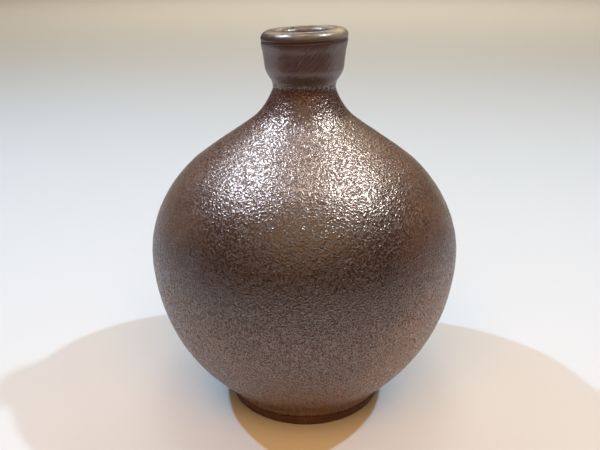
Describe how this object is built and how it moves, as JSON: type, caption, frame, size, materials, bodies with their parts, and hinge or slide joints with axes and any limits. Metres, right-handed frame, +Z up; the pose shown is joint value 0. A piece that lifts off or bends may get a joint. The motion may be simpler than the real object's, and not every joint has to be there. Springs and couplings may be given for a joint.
{
  "type": "sake bottle",
  "caption": "Globular salt-glazed stoneware sake bottle with a low bare foot ring, a narrow waist, a flared collar and a rolled lip.",
  "frame": {"origin": "centre of the foot ring's resting plane, on the bottle's axis", "axes": "+Z up along the bottle's axis from the foot to the mouth; the bottle is round, so X and Y are interchangeable; the usual view looks along +Y"},
  "size_m": [0.1646, 0.1646, 0.205],
  "materials": {
    "salt_glaze": "brown salt glaze with an orange-peel dimple, half gloss",
    "lip_glaze": "smooth olive-brown glaze, glossy",
    "bare_clay": "unglazed iron-brown stoneware, matt",
    "luting_slip": "fired joining slip, matt"
  },
  "bodies": {
    "root": {"foot_ring": "bare_clay", "foot_seam_slip": "luting_slip", "base_disc": "bare_clay", "base_seam_slip": "luting_slip", "lower_belly": "salt_glaze", "belly_seam_slip": "luting_slip", "upper_belly": "salt_glaze", "neck_seam_slip": "luting_slip", "neck": "salt_glaze", "collar_seam_slip": "luting_slip", "mouth_collar": "salt_glaze", "lip_seam_slip": "luting_slip", "lip_roll": "lip_glaze"}
  },
  "joints": []
}
